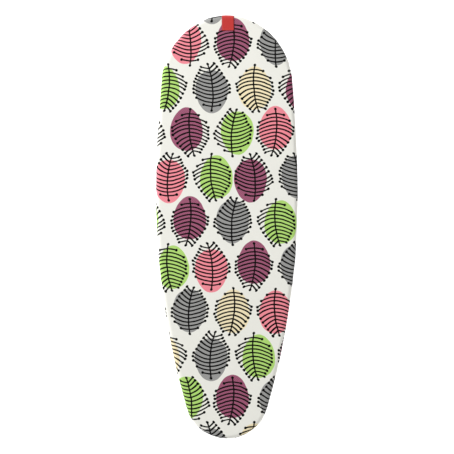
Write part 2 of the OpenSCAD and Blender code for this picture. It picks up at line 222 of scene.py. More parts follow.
def drop_loose(points, faces, uv=None):
    """Leaves out points that no face uses."""
    used = sorted({v for face in faces for v in face})
    place = {v: k for k, v in enumerate(used)}
    faces = [tuple(place[v] for v in face) for face in faces]
    return points[used], faces, None if uv is None else uv[used]


RELIEF_WAVES = 9


def soft_relief(x, y):
    """Slow unevenness of the padded top, from -1 to 1."""
    rng = np.random.default_rng(11)
    total = np.zeros_like(x)
    for _ in range(RELIEF_WAVES):
        angle = rng.uniform(0, math.pi)
        wave = rng.uniform(25, 55)
        phase = rng.uniform(0, 2 * math.pi)
        total += np.sin((x * math.cos(angle) + y * math.sin(angle)) * wave + phase)
    return total / RELIEF_WAVES


# ---------------------------------------------------------------- cover
SHOULDER = 12 * MM
SHOULDER_ROWS = 9
HEM_CORNER = 3.0 * MM
SIDE_HEIGHT = TOP_Z - SHOULDER - HEM_Z - HEM_CORNER
SIDE_GATHER = 0.25
# Under this height the cloth faces down
UNDER_Z = HEM_Z + HEM_CORNER * 0.5
TOP_SHARES = [0.01, 0.025, 0.045, 0.07] + list(np.linspace(0.1, 1.0, 25))
RELIEF = 0.45 * MM
CLOTH_THICKNESS = 0.7 * MM


def cover_profile():
    """The cover's section from the shoulder's inner end to the hem's inner edge.
    Each row: offset from the outline, height, cloth length from the shoulder's start, gather 0 to 1."""
    rows = []
    for t in np.linspace(0, math.pi / 2, SHOULDER_ROWS):
        offset = -SHOULDER + SHOULDER * math.sin(t)
        rows.append([offset, TOP_Z - SHOULDER * (1 - math.cos(t)), SHOULDER * t, 0.0])
    length = SHOULDER * math.pi / 2
    for t in np.linspace(0.25, 1.0, 4):
        height = TOP_Z - SHOULDER - SIDE_HEIGHT * t
        rows.append([0.0, height, length + SIDE_HEIGHT * t, SIDE_GATHER * t])
    length += SIDE_HEIGHT
    for t in np.linspace(math.pi / 8, math.pi / 2, 4):
        offset = HEM_CORNER * (math.cos(t) - 1)
        height = HEM_Z + HEM_CORNER * (1 - math.sin(t))
        rows.append([offset, height, length + HEM_CORNER * t, SIDE_GATHER + 0.15 * t])
    length += HEM_CORNER * math.pi / 2
    under = HEM_WIDTH - HEM_CORNER
    for t in np.linspace(0.125, 1.0, 8):
        rows.append([-HEM_CORNER - under * t, HEM_Z, length + under * t, 0.5 + 0.5 * t])
    return rows


PROFILE = cover_profile()
HEM_END = PROFILE[-1][2] - SHOULDER
SIDE_PUCKER = 0.5 * MM
HEM_WAVE = 2.4 * MM

# The cloth simulation of the cover's edge: what is held still, how much more cloth there is than room,
# and how far the cloth may go in all, inwards, outwards and, under the hem, upwards
TAPE_RINGS = 3
HELD_BESIDE_TAG = 25 * MM
SPARE_CLOTH = 0.14
CLOTH_FRAMES = 20
MOST_MOVED = 4.5 * MM
SIDE_SINK = 0.3 * MM
SIDE_SWELL = 1.0 * MM
HEM_RISE = 0.2 * MM


def hem_shape(offset, height, gather):
    """A ring of the side or hem with its puckers: outwards on the side, downwards under the top."""
    strength = GATHER * gather
    pucker = SIDE_PUCKER * FOLDS * np.minimum(strength * 3, 1.0)
    wave = HEM_WAVE * (FOLDS * 0.75 + SLOW_FOLDS * 0.25 - 1) * strength * max(0.0, gather - 0.3) / 0.7
    return at_offset(offset + pucker * (height > UNDER_Z), height + wave)


def held_still(rows):
    """How firmly each point of the cover's edge is held while its gathers settle. The tape's rings, the top
    and the cloth under the tag don't move."""
    held = np.zeros((rows, AROUND))
    held[:TAPE_RINGS] = 1
    held[TAPE_RINGS] = 0.4
    shoulder = np.linspace(0, 1, SHOULDER_ROWS)
    held[len(PROFILE) - SHOULDER_ROWS:len(PROFILE)] = shoulder[:, None] ** 2
    held[len(PROFILE):] = 1
    free_of_tag = np.clip((np.abs(PLACE[:, 1]) - TAG_HIGH.y) / HELD_BESIDE_TAG, 0, 1)
    free_of_tag[PLACE[:, 0] < 0] = 1
    return np.maximum(held, 1 - free_of_tag)


def cloth_trial(start, rows):
    """A copy of the cover's edge as a cloth simulation in which the hem has more cloth than room for it."""
    trial = new_object("edge_trial", start, rings(rows))
    held = trial.vertex_groups.new(name="held")
    tight = trial.vertex_groups.new(name="tight")
    gather = np.zeros(rows)
    gather[:len(PROFILE)] = [row[3] for row in reversed(PROFILE)]
    spare = np.clip(gather[:, None] * 1.3, 0, 1) * np.clip(GATHER * 1.6, 0.15, 1.0)
    for group, weights in ((held, held_still(rows)), (tight, 1 - spare)):
        for k, weight in enumerate(weights.ravel()):
            group.add([k], float(weight), "REPLACE")
    settings = trial.modifiers.new("gathers", "CLOTH").settings
    settings.quality = 6
    settings.mass = 0.15
    settings.bending_stiffness = 0.05
    settings.vertex_group_mass = "held"
    settings.vertex_group_shrink = "tight"
    settings.shrink_min = -SPARE_CLOTH
    settings.effector_weights.gravity = 0.0
    return trial


def simulated(trial):
    """Runs a trial's simulation, removes the trial and gives where its points ended up."""
    scene = bpy.context.scene
    for frame_number in range(1, CLOTH_FRAMES + 1):
        scene.frame_set(frame_number)
    settled = np.empty((len(trial.data.vertices), 3), np.float32)
    bent = trial.evaluated_get(bpy.context.evaluated_depsgraph_get())
    bent.data.vertices.foreach_get("co", settled.ravel())
    scene.frame_set(1)
    bpy.data.objects.remove(trial)
    return settled


def settle_gathers(points, rows):
    """Moves the rows of the cover's edge to where their gathers settle, within the limits set above."""
    start = points[:rows * AROUND]
    moved = simulated(cloth_trial(start, rows)) - start
    far = np.linalg.norm(moved, axis=1)
    moved *= np.minimum(1.0, MOST_MOVED / np.maximum(far, 1e-9))[:, None]
    normal = np.tile(NORMAL, (rows, 1))
    outwards = (moved[:, :2] * normal).sum(axis=1)
    kept = np.clip(outwards, -SIDE_SINK, SIDE_SWELL)
    moved[:, :2] += normal * (kept - outwards)[:, None]
    under = start[:, 2] < UNDER_Z
    moved[under, 2] = np.minimum(moved[under, 2], HEM_RISE)
    points[:rows * AROUND] = start + moved


def make_cover():
    """The fabric cover as one open sheet, from the hem's inner edge over the side to the top's middle."""
    rows, flat = [], []
    for offset, height, length, gather in reversed(PROFILE):
        rows.append(hem_shape(offset, height, gather))
        flat.append(PLACE + NORMAL * (length - SHOULDER))
    inner = at_offset(-SHOULDER, TOP_Z)
    for share in TOP_SHARES:
        ring = towards_spine(inner, share)
        rows.append(ring)
        flat.append(ring[:, :2].copy())
    points, uv = np.vstack(rows), np.vstack(flat)
    top = points[:, 2] > TOP_Z - SHOULDER
    relief = soft_relief(points[:, 0], points[:, 1])
    points[top, 2] += (relief[top] - 1) * RELIEF
    settle_gathers(points, len(PROFILE) + 2)
    faces = close_spine(points, rings(len(rows)), len(rows) - 1)
    points, faces, uv = drop_loose(points, faces, uv)
    cover = new_object("printed_cover", points, faces, uv)
    thicken(cover, CLOTH_THICKNESS, -1.0)
    return cover


def flat_area():
    """Area of the cloth before it was turned under, in square metres."""
    edge = PLACE + NORMAL * HEM_END
    after = np.roll(edge, -1, axis=0)
    return abs(float((edge[:, 0] * after[:, 1] - after[:, 0] * edge[:, 1]).sum())) / 2


# ---------------------------------------------------------------- hem tape
TAPE_PAST_HEM = 0.8 * MM
TAPE_UNDER_HEM = 0.9 * MM
TAPE_THICKNESS = 1.0 * MM


def make_tape():
    """Elastic tape sewn under the hem's inner edge, following its gathers."""
    rows, uv = [], []
    for offset in np.linspace(-HEM_WIDTH + TAPE_WIDTH, -HEM_WIDTH - TAPE_PAST_HEM, 6):
        gather = 0.5 + 0.5 * min(1.0, (-offset - HEM_CORNER) / (HEM_WIDTH - HEM_CORNER))
        ring = hem_shape(offset, HEM_Z, gather)
        ring[:, 2] -= TAPE_UNDER_HEM
        rows.append(ring)
        uv.append(np.column_stack([np.arange(AROUND) * PERIMETER / AROUND, np.full(AROUND, offset)]))
    tape = new_object("elastic_tape", np.vstack(rows), rings(len(rows)), np.vstack(uv))
    thicken(tape, TAPE_THICKNESS, 0.0)
    return tape


# ---------------------------------------------------------------- pad
PAD_GAP = 1.2 * MM
PAD_ABOVE_RIM_BOTTOM = 0.4 * MM
PAD_BEVEL_WIDTH, PAD_BEVEL_HEIGHT = 1.5 * MM, 1.6 * MM
RIM_INSET = 5.9 * MM
BULGE = 1.4 * MM
# The plate's diamond openings, and how far from the middle line they go
MESH_LENGTH = 52 * MM
MESH_WIDTH = 24 * MM
MESH_REACH = 165 * MM
MESH_PITCH_X = 64 * MM
MESH_PITCH_Y = 32 * MM


def pressed_into_mesh(x, y):
    """How far the felt sinks into the plate's diamond openings, 0 to 1."""
    depth = np.zeros_like(x)
    for shift in (0.0, 0.5):
        dx = (x / MESH_PITCH_X - shift + 0.5) % 1.0 - 0.5
        dy = (y / MESH_PITCH_Y - shift + 0.5) % 1.0 - 0.5
        from_middle = np.abs(dx) * MESH_PITCH_X / MESH_LENGTH + np.abs(dy) * MESH_PITCH_Y / MESH_WIDTH
        depth = np.maximum(depth, np.clip(1 - from_middle * 2.4, 0, 1) ** 0.7)
    return depth


def make_pad():
    """Felt pad: a slab on the plate, its edge turned down over the rim, pressed into the plate's openings."""
    radius = SHOULDER - PAD_GAP
    top_z = PAD_TOP - RELIEF * 2
    edge_z = RIM_BOTTOM + PAD_ABOVE_RIM_BOTTOM
    rows = []
    for share in reversed(TOP_SHARES):
        rows.append(towards_spine(at_offset(-SHOULDER, top_z), share))
    for t in np.linspace(0, math.pi / 2, 6):
        rows.append(at_offset(-PAD_GAP - radius + radius * math.sin(t), top_z - radius * (1 - math.cos(t))))
    rows.append(at_offset(-PAD_GAP, edge_z + PAD_BEVEL_HEIGHT))
    rows.append(at_offset(-PAD_GAP - PAD_BEVEL_WIDTH, edge_z))
    rows.append(at_offset(-RIM_INSET, edge_z))
    rows.append(at_offset(-RIM_INSET, PLATE_TOP))
    for share in TOP_SHARES:
        rows.append(towards_spine(at_offset(-RIM_INSET, PLATE_TOP), share))
    points = np.vstack(rows)
    under = points[(len(rows) - len(TOP_SHARES)) * AROUND:]
    over_mesh = np.abs(under[:, 1]) < MESH_REACH
    under[:, 2] -= BULGE * pressed_into_mesh(under[:, 0], under[:, 1]) * over_mesh
    faces = close_spine(points, rings(len(rows)), 0)
    faces = close_spine(points, faces, len(rows) - 1)
    points, faces, _ = drop_loose(points, faces)
    return new_object("felt_pad", points, faces)


# ---------------------------------------------------------------- tag
TAG_LIFT = 0.35 * MM
TAG_TUCK = 15 * MM
TAG_CURL = 0.5 * MM
TAG_THICKNESS = 0.45 * MM
TAG_COLUMNS = 15


def tag_section(length_on_top):
    """The tag's section from its end on the top to its end under the hem, and its whole length.
    Each row: offset from the outline, height, length from the end on the top."""
    rows = []
    for t in np.linspace(0, 1, 22):
        rows.append((-SHOULDER - length_on_top * (1 - t), TOP_Z + TAG_LIFT, length_on_top * t))
    length = length_on_top
    radius = SHOULDER + TAG_LIFT
    for t in np.linspace(0, math.pi / 2, SHOULDER_ROWS)[1:]:
        offset = -SHOULDER + radius * math.sin(t)
        rows.append((offset, TOP_Z - SHOULDER + radius * math.cos(t), length + radius * t))
    length += radius * math.pi / 2
    for t in np.linspace(0.2, 1, 5):
        rows.append((TAG_LIFT, TOP_Z - SHOULDER - SIDE_HEIGHT * t, length + SIDE_HEIGHT * t))
    length += SIDE_HEIGHT
    radius = HEM_CORNER + TAG_LIFT
    for t in np.linspace(math.pi / 8, math.pi / 2, 4):
        offset = -HEM_CORNER + radius * math.cos(t)
        rows.append((offset, HEM_Z + HEM_CORNER - radius * math.sin(t), length + radius * t))
    length += radius * math.pi / 2
    for t in np.linspace(0.2, 1, 5):
        rows.append((-HEM_CORNER - TAG_TUCK * t, HEM_Z - TAG_LIFT * (1 + 2 * t), length + TAG_TUCK * t))
    return rows, length + TAG_TUCK


def make_tag():
    """Woven tag folded over the wide end: along the top, down the side and under the hem. It follows the
    outline's curve, but its end on the top is straight. Gives the piece and the tag's whole length."""
    across = np.linspace(TAG_LOW.y, TAG_HIGH.y, TAG_COLUMNS)
    radius = ARC_RADII[0]
    edge = TIP_X - radius + np.sqrt(radius ** 2 - across ** 2)
    length_on_top = TIP_X - SHOULDER - TAG_LOW.x
    section, whole_length = tag_section(length_on_top)
    rows, uv = [], []
    for offset, height, run in section:
        on_top = max(0.0, (-SHOULDER - offset) / length_on_top) if height > TOP_Z else 0.0
        x = edge + offset + (TIP_X - edge) * on_top
        z = np.full(TAG_COLUMNS, height + TAG_CURL * on_top ** 6)
        rows.append(np.column_stack([x, across, z]))
        uv.append(np.column_stack([np.full(TAG_COLUMNS, run), across - TAG_LOW.y]))
    faces = []
    for k in range(len(rows) - 1):
        for a in range(k * TAG_COLUMNS, (k + 1) * TAG_COLUMNS - 1):
            b = a + TAG_COLUMNS
            faces.append((a, b, b + 1, a + 1))
    tag = new_object("red_tag", np.vstack(rows), faces, np.vstack(uv))
    thicken(tag, TAG_THICKNESS, 0.6)
    return tag, whole_length


# ---------------------------------------------------------------- formulas in shader nodes
def feed(tree, value, socket):
    """Sets an input to a plain number or an RGB triple, or links it to a Num or another node's output."""
    if isinstance(value, Num):
        tree.links.new(value.socket, socket)
    elif isinstance(value, tuple):
        socket.default_value = (*value, 1)
    elif isinstance(value, (int, float)):
        socket.default_value = value
    else:
        tree.links.new(value, socket)


class Num:
    """A number on a node socket, so that a formula in a material reads as arithmetic."""

    def __init__(self, tree, socket):
        self.tree = tree
        self.socket = socket

    def join(self, operation, *others):
        """A Math node with this number as its first input."""
        node = self.tree.nodes.new("ShaderNodeMath")
        node.operation = operation
        for value, socket in zip((self, *others), node.inputs):
            feed(self.tree, value, socket)
        return Num(self.tree, node.outputs[0])

    def __add__(self, other):
        return self.join("ADD", other)

    def __sub__(self, other):
        return self.join("SUBTRACT", other)

    def __rsub__(self, other):
        return self.join("MULTIPLY_ADD", -1.0, other)

    def __mul__(self, other):
        return self.join("MULTIPLY", other)

    def __truediv__(self, other):
        return self.join("DIVIDE", other)

    def __abs__(self):
        return self.join("ABSOLUTE")

    def sqrt(self):
        return self.join("SQRT")

    def round(self):
        return self.join("ROUND")

    def max(self, other):
        return self.join("MAXIMUM", other)

    def min(self, other):
        return self.join("MINIMUM", other)

    def sin(self):
        return self.join("SINE")

    def fract(self):
        return self.join("FRACT")

    def above(self, other):
        return self.join("GREATER_THAN", other)

    def clamp(self):
        """Held between 0 and 1."""
        return self.max(0.0).min(1.0)

    def within(self, limit, softness):
        """1 where this number is under limit, 0 over it, with a soft edge of that width."""
        return ((limit - self) / softness + 0.5).clamp()

    def waves(self, pitch):
        """A wave between 0 and 1 that repeats as this number grows by pitch."""
        return (self * (2 * math.pi / pitch)).sin() * 0.5 + 0.5


class Material:
    """A node material with one Principled shader, and short ways to add the nodes used here."""

    def __init__(self, name, color, roughness, metallic=0.0, specular=0.5):
        self.data = bpy.data.materials.new(name)
        self.data.use_nodes = True
        self.tree = self.data.node_tree
        self.shader = self.tree.nodes["Principled BSDF"]
        self.shader.inputs["Base Color"].default_value = (*color, 1)
        self.shader.inputs["Roughness"].default_value = roughness
        self.shader.inputs["Metallic"].default_value = metallic
        self.shader.inputs["Specular IOR Level"].default_value = specular

    def node(self, kind, **settings):
        node = self.tree.nodes.new(kind)
        for key, value in settings.items():
            setattr(node, key, value)
        return node

    def feed(self, value, socket):
        feed(self.tree, value, socket)

    def places(self):
        """The piece's own coordinates, in metres."""
        return self.node("ShaderNodeTexCoord").outputs["Object"]

    def flat(self):
        """The cloth's flat coordinates, in metres."""
        return self.node("ShaderNodeUVMap", uv_map=FLAT_MAP).outputs["UV"]

    def split(self, vector):
        parts = self.node("ShaderNodeSeparateXYZ")
        self.feed(vector, parts.inputs[0])
        return [Num(self.tree, parts.outputs[k]) for k in range(3)]

    def combine(self, *values):
        made = self.node("ShaderNodeCombineXYZ")
        for value, socket in zip(values, made.inputs):
            self.feed(value, socket)
        return made.outputs[0]

    def noise_node(self, where, scale, detail, roughness=0.5, kind="3D"):
        made = self.node("ShaderNodeTexNoise", noise_dimensions=kind)
        made.inputs["Scale"].default_value = scale
        made.inputs["Detail"].default_value = detail
        made.inputs["Roughness"].default_value = roughness
        self.feed(where, made.inputs["Vector"])
        return made

    def noise(self, where, scale, detail=2.0, roughness=0.5):
        return Num(self.tree, self.noise_node(where, scale, detail, roughness).outputs["Fac"])

    def chance(self, *numbers):
        """A node with a random Value and Color for each set of three numbers."""
        made = self.node("ShaderNodeTexWhiteNoise", noise_dimensions="3D")
        self.feed(self.combine(*numbers), made.inputs["Vector"])
        return made

    def mix(self, share, first, second, blend="MIX"):
        """A colour between first and second. Each is a socket or an RGB triple."""
        made = self.node("ShaderNodeMix", data_type="RGBA", blend_type=blend)
        self.feed(share, made.inputs[0])
        for value, socket in zip((first, second), [s for s in made.inputs if s.type == "RGBA"]):
            self.feed(value, socket)
        return next(s for s in made.outputs if s.type == "RGBA")

    def color(self, socket):
        self.feed(socket, self.shader.inputs["Base Color"])

    def roughness(self, value):
        self.feed(value, self.shader.inputs["Roughness"])

    def bump(self, height, depth, strength):
        """Raises the surface by height, 0 to 1, times depth in metres."""
        made = self.node("ShaderNodeBump")
        made.inputs["Strength"].default_value = strength
        made.inputs["Distance"].default_value = depth
        self.feed(height, made.inputs["Height"])
        self.feed(made.outputs[0], self.shader.inputs["Normal"])


# ---------------------------------------------------------------- printed cover
CLOTH_WHITE = (0.87, 0.865, 0.80)
INK = (0.003, 0.003, 0.003)
PINK = (0.89, 0.235, 0.295)
PLUM = (0.31, 0.058, 0.140)
GREY = (0.30, 0.30, 0.295)
LIME = (0.42, 0.70, 0.145)
CREAM = (0.90, 0.78, 0.50)
PRINT_COLOURS = {"p": PINK, "m": PLUM, "g": GREY, "l": LIME, "c": CREAM}

# The print, row by row from the wide end and in each row from left to right, as seen with the wide end up.
# Each leaf is three characters. First its colour, a capital where its fan points to the wide end. Then the
# side to which its stem bows. Then where its colour patch lies off the lines, as on a number pad: 5 is in
# place.
EVEN_ROWS = [
    "l)4 P)4 m)8 G(5 c(5",
    "G)4 m(7 L(6 p)8 l(5",
    "L)4 m)8 G(5 l(6 P)5",
    "P)4 G(5 c)5 p(5 G(2",
    "c)5 L)7 m)8 G(5 l)4",
]
ODD_ROWS = [
    "m)5 l(4 G)2 C(8 P)5",
    "G(5 l)4 G)2 c(5 m(6",
    "m)8 P(2 l(6 M)1 G)5",
    "c(5 l(6 P)2 m)8 G(5",
    "P)4 c)4 G(2 l(6 M)5",
    "G(5 m)8 G)2 c(5 l(6",
]
# Sizes of the print, in millimetres. The two grids of leaves start at these places across and along
COLUMN_PITCH = 123.0
ROW_PITCH = 127.7
EVEN_START = (16.8, 525.2)
ODD_START = (78.2, 525.2 + ROW_PITCH)
# The columns' numbers at the left ends of the rows
EVEN_FIRST, ODD_FIRST = -2, -3
# How far a leaf strays across and along from its place in the grid
LEAF_STRAY = (3.0, 4.0)

# Half a line's width, the radius of the balls, and how soft their edges are
LINE_HALF = 2.15
BALL = 4.0
EDGE = 0.4
# The stem's ends, then its bow: how far out it stands, how tightly it curves and where its middle is
STEM_LOW, STEM_HIGH = -65.5, 66.8
STEM_SIDE, STEM_BOW, STEM_MIDDLE = 3.5, 0.0019, -22.0
VEINS = 11
VEIN_STEP = 10.6
LOWEST_VEIN = -52.9
VEIN_SLOPE = 0.02
# The veins from this one on fan out
FANNED_FROM = 4.0
FAN_START = LOWEST_VEIN + FANNED_FROM * VEIN_STEP
# Pairs: the value on the leaf's plain side, and what is added to it on the other, steep side
VEIN_CURVE = (0.0055, 0.002)
FAN_SPREAD = (0.02, 0.09)
LOWEST_REACH = (26.0, -4.0)
REACH_GROWS = (23.0, -7.5)
LONGEST_REACH = (54.0, -5.5)
SHRINKS_FROM = (4.7, -1.0)
REACH_SHRINKS = (6.3, -1.6)

# The colour patch's half sizes, how egg-shaped it is and how far it may lie off the lines
BLOB_ACROSS, BLOB_ALONG = 46.5, 62.0
BLOB_TAPER = 0.12
BLOB_SHIFT = (14.0, 12.0)
# The fine streaks over the patch, the wander of all edges, and the weave, which is in metres
HATCH_PITCH = 6.0
HATCH_SHARE = 0.11
WANDER = 3.0
THREAD_PITCH = 1.1 * MM


def leaf_ramp(m, position, values):
    """A ramp of constant steps with one entry of four numbers, 0 to 1, for each leaf."""
    made = m.node("ShaderNodeValToRGB")
    ramp = made.color_ramp
    ramp.interpolation = "CONSTANT"
    for k, value in enumerate(values):
        stop = ramp.elements[0] if k == 0 else ramp.elements.new(k / len(values))
        stop.color = value
    ramp.elements.remove(ramp.elements[-1])
    m.feed(position, made.inputs[0])
    return made.outputs["Color"], Num(m.tree, made.outputs["Alpha"])


def leaf_looks(rows):
    """For each leaf its colour, with two marks in the alpha: which way its fan points and its stem bows."""
    leaves = " ".join(rows).split()
    return [(*PRINT_COLOURS[a.lower()], (2 * a.isupper() + (b == ")")) / 3) for a, b, _ in leaves]


def patch_shifts(rows):
    """For each leaf how far its colour patch is moved across and along, 0.5 being in place."""
    shifts = []
    for leaf in " ".join(rows).split():
        along, across = divmod(int(leaf[2]) - 1, 3)
        corner = 0.75 if across != 1 and along != 1 else 1.0
        shifts.append((0.5 + (across - 1) * corner / 2, 0.5 + (along - 1) * corner / 2, 0.0, 1.0))
    return shifts


def on_side(steep, pair):
    """One of the pairs above, for the leaf's plain side where steep is 0 and its steep side where it is 1."""
    plain, added = pair
    return steep * added + plain


def nearest_vein(q, side, steep):
    """The nearest vein's number from the first fanned one, its slope and its curve. The veins rise outwards
    in a curve, and the fanned ones rise more steeply one after the other."""
    curve = on_side(steep, VEIN_CURVE)
    spread = on_side(steep, FAN_SPREAD)
    lift = q - FAN_START - side * VEIN_SLOPE - side * side * curve
    place = lift / (lift.above(0.0) * spread * side + VEIN_STEP)
    vein = place.round().max(-FANNED_FROM).min(VEINS - 1 - FANNED_FROM)
    return vein, vein.max(0.0) * spread + VEIN_SLOPE, curve


def vein_reach(number, steep):
    """How far a vein reaches from the stem: less at both ends of the leaf and on the steep side."""
    growing = number * on_side(steep, REACH_GROWS) + on_side(steep, LOWEST_REACH)
    longest = on_side(steep, LONGEST_REACH)
    shrinking = longest - (number - on_side(steep, SHRINKS_FROM)) * on_side(steep, REACH_SHRINKS)
    return growing.min(longest).min(shrinking)


def line_with_ball(gap, end_gap, run, length):
    """Ink along a line that has a ball at its end. gap is the distance from the line, end_gap the same
    from its end, run the way along it, and length where it ends."""
    past = run - length
    line = gap.within(LINE_HALF, EDGE) * run.within(length, EDGE)
    return line.max((past * past + end_gap * end_gap).sqrt().within(BALL, EDGE))


def leaf_ink(m, p, q, cell):
    """Where a leaf's ink lines are. p runs across from its bowed stem and q along it, towards the fan.
    cell is three numbers that differ from leaf to leaf."""
    side = abs(p)
    steep = p.above(0.0)
    vein, slope, curve = nearest_vein(q, side, steep)
    number = vein + FANNED_FROM
    uneven = m.chance(cell[0] + number, cell[1] + steep, cell[2]).outputs["Value"]
    reach = vein_reach(number, steep) * (Num(m.tree, uneven) * 0.06 + 0.97)

    def above_vein(run):
        return q - (vein * VEIN_STEP + slope * run + curve * run * run + FAN_START)

    steepness = slope + curve * side * 2.0
    gap = abs(above_vein(side)) / (steepness * steepness + 1.0).sqrt()
    veins = line_with_ball(gap, above_vein(reach), side, reach)
    from_middle = abs(q - (STEM_LOW + STEM_HIGH) / 2)
    stem = line_with_ball(side, side, from_middle, (STEM_HIGH - STEM_LOW) / 2)
    return veins.max(stem)


def leaf_patch(x, y, fan):
    """A leaf's colour patch, an egg with its narrow end away from the fan. x and y start at its middle."""
    width = y * fan * (BLOB_TAPER * BLOB_ACROSS / BLOB_ALONG) + BLOB_ACROSS
    x, y = x / width, y / BLOB_ALONG
    return ((x * x + y * y).sqrt() * BLOB_ACROSS).within(BLOB_ACROSS, 1.0)


def leaf_layer(m, across, along, rows, start, first, seed):
    """One of the print's two interleaved grids of leaves, in millimetres.
    Gives the leaf's colour, where its colour patch is, where its ink is, and fine streaks over it."""
    columns = len(rows[0].split())
    column = ((across - start[0]) / COLUMN_PITCH).round()
    row = ((start[1] - along) / (2 * ROW_PITCH)).round()
    index = (row * float(columns) + column + (0.5 - first)) / float(len(rows) * columns)
    colour, marks = leaf_ramp(m, index, leaf_looks(rows))
    shift, _ = leaf_ramp(m, index, patch_shifts(rows))
    fan_up = marks.above(0.5)
    fan = fan_up * 2.0 - 1.0
    bow = (marks * 3.0 - fan_up * 2.0).above(0.5) * 2.0 - 1.0

    # places from the leaf's middle, then along the leaf and across from its bowed stem
    stray_x, stray_y, _ = m.split(m.chance(column, row, seed).outputs["Color"])
    x = across - start[0] - column * COLUMN_PITCH - (stray_x - 0.5) * LEAF_STRAY[0]
    y = along - start[1] + row * (2 * ROW_PITCH) - (stray_y - 0.5) * LEAF_STRAY[1]
    q = y * fan
    from_bow = q - STEM_MIDDLE
    p = x * bow + from_bow * from_bow * STEM_BOW - STEM_SIDE

    ink = leaf_ink(m, p, q, (column * 3.0, row * 5.0, seed + 0.5))
    shift_x, shift_y, _ = m.split(shift)
    patch_x = x - (shift_x - 0.5) * (2 * BLOB_SHIFT[0])
    patch_y = y - (shift_y - 0.5) * (2 * BLOB_SHIFT[1])
    return colour, leaf_patch(patch_x, patch_y, fan), ink, (abs(p) + q).waves(HATCH_PITCH)


def leaf_print(m, flat, ground):
    """The print over its ground colour, and where its ink is: two grids of leaves, ink lines on top."""
    along, left, _ = m.split(flat)
    wander = m.noise_node(flat, 30.0, 2.0, kind="2D")
    wander_x, wander_y, _ = m.split(wander.outputs["Color"])
    along = along / MM + (wander_x - 0.5) * WANDER
    across = left / -MM + (wander_y - 0.5) * WANDER
    even = leaf_layer(m, across, along, EVEN_ROWS, EVEN_START, EVEN_FIRST, 1.0)
    odd = leaf_layer(m, across, along, ODD_ROWS, ODD_START, ODD_FIRST, 7.0)
    for colour, patch, _, hatch in (even, odd):
        streaked = m.mix(hatch * HATCH_SHARE, colour, CLOTH_WHITE)
        ground = m.mix(patch, ground, streaked)
    ink = even[2].max(odd[2])
    return m.mix(ink, ground, INK), ink


def printed_cloth():
    """Cotton with the leaf print over off-white, in a fine plain weave."""
    m = Material("printed_cotton", CLOTH_WHITE, 0.82, specular=0.08)
    flat = m.flat()
    cloud = m.noise(flat, 6.0, 3.0)
    ground = m.mix(cloud, (0.85, 0.85, 0.78), (0.89, 0.88, 0.82))
    colours, ink = leaf_print(m, flat, ground)
    u, v, _ = m.split(flat)
    threads = 2 * math.pi / THREAD_PITCH
    weave = (u * threads).sin() * (v * threads).sin() * 0.5 + 0.5
    shade = m.mix(weave, (0.93, 0.93, 0.93), (1.0, 1.0, 1.0))
    m.color(m.mix(0.35, colours, shade, "MULTIPLY"))
    m.roughness(ink * -0.08 + (cloud * 0.08 + 0.80))
    slub = m.noise(m.combine(u * 900.0, v * 120.0, 0.0), 1.0)
    m.bump(weave * 0.6 + slub * 0.4, 0.00012, 0.5)
    m.shader.inputs["Sheen Weight"].default_value = 0.04
    m.shader.inputs["Sheen Roughness"].default_value = 0.35
    return m.data


# ---------------------------------------------------------------- other fabrics
THREAD_EDGE = 0.3 * MM
SEAM_PITCH = 6 * MM
SEAM_WIDTH = 3.5 * MM
SEAM_THREAD_HALF = 0.45 * MM
# Width of the darker band at the tag's sides: partly its woven selvedge, partly painted shade along its edges
SELVEDGE_AND_SHADE_WIDTH = 1.6 * MM
STITCH_PITCH = 3 * MM
STITCH_HALF = 0.35 * MM
STITCHES_FROM_END = 3.5 * MM


def felt():
    """Pressed white felt: matted fibres and flecks."""
    m = Material("white_felt", (0.80, 0.77, 0.70), 0.95, specular=0.15)
    where = m.places()
    fibres = m.noise(where, 420.0, 4.0, 0.7)
    clouds = m.noise(where, 25.0, 3.0)
    m.color(m.mix(fibres * 0.6 + clouds * 0.4, (0.66, 0.63, 0.56), (0.86, 0.84, 0.78)))
    m.bump(fibres, 0.0006, 0.6)
    return m.data


def elastic():
    """White knitted elastic: ribs along the tape and a zigzag seam."""
    m = Material("white_elastic", (0.82, 0.81, 0.78), 0.8, specular=0.2)
    run, over, _ = m.split(m.flat())
    ribs = over.waves(1.1 * MM)
    knit = run.waves(1.6 * MM)
    zigzag = abs((run / SEAM_PITCH).fract() - 0.5) * 2.0 - 0.5
    from_seam = abs(over + (HEM_WIDTH - TAPE_WIDTH / 2) - zigzag * SEAM_WIDTH)
    thread = from_seam.within(SEAM_THREAD_HALF, THREAD_EDGE)
    body = m.mix(ribs * 0.5 + knit * 0.5, (0.70, 0.69, 0.66), (0.86, 0.85, 0.82))
    m.color(m.mix(thread, body, (0.93, 0.93, 0.92)))
    m.bump(ribs * 0.4 + knit * 0.2 + thread * 0.4, 0.0004, 0.6)
    return m.data


def red_weave():
    """Satin-woven red tag with a darker selvedge, partly painted shade along its sides, and a row of
    stitches.
    """
    m = Material("red_woven_tag", (0.56, 0.035, 0.03), 0.5, specular=0.35)
    run, over, _ = m.split(m.flat())
    twill = (run + over).waves(0.9 * MM)
    ribs = over.waves(1.2 * MM)
    width = TAG_HIGH.y - TAG_LOW.y
    # Painted shade: the dark band at both sides of the tag is partly its woven selvedge, partly painted shade
    # along its edges
    selvedge_and_shade = abs(over - width / 2).above(width / 2 - SELVEDGE_AND_SHADE_WIDTH)
    stitched = (over / STITCH_PITCH).fract().within(0.62, 0.1)
    hem = abs(run - STITCHES_FROM_END).within(STITCH_HALF, THREAD_EDGE) * stitched
    body = m.mix(twill * 0.6 + ribs * 0.4, (0.47, 0.022, 0.020), (0.60, 0.038, 0.032))
    body = m.mix(selvedge_and_shade * 0.6, body, (0.26, 0.012, 0.012))
    m.color(m.mix(hem * 0.6, body, (0.72, 0.10, 0.085)))
    m.bump(twill * 0.5 + ribs * 0.3 + hem * 0.6, 0.00015, 0.5)
    m.shader.inputs["Sheen Weight"].default_value = 0.1
    return m.data


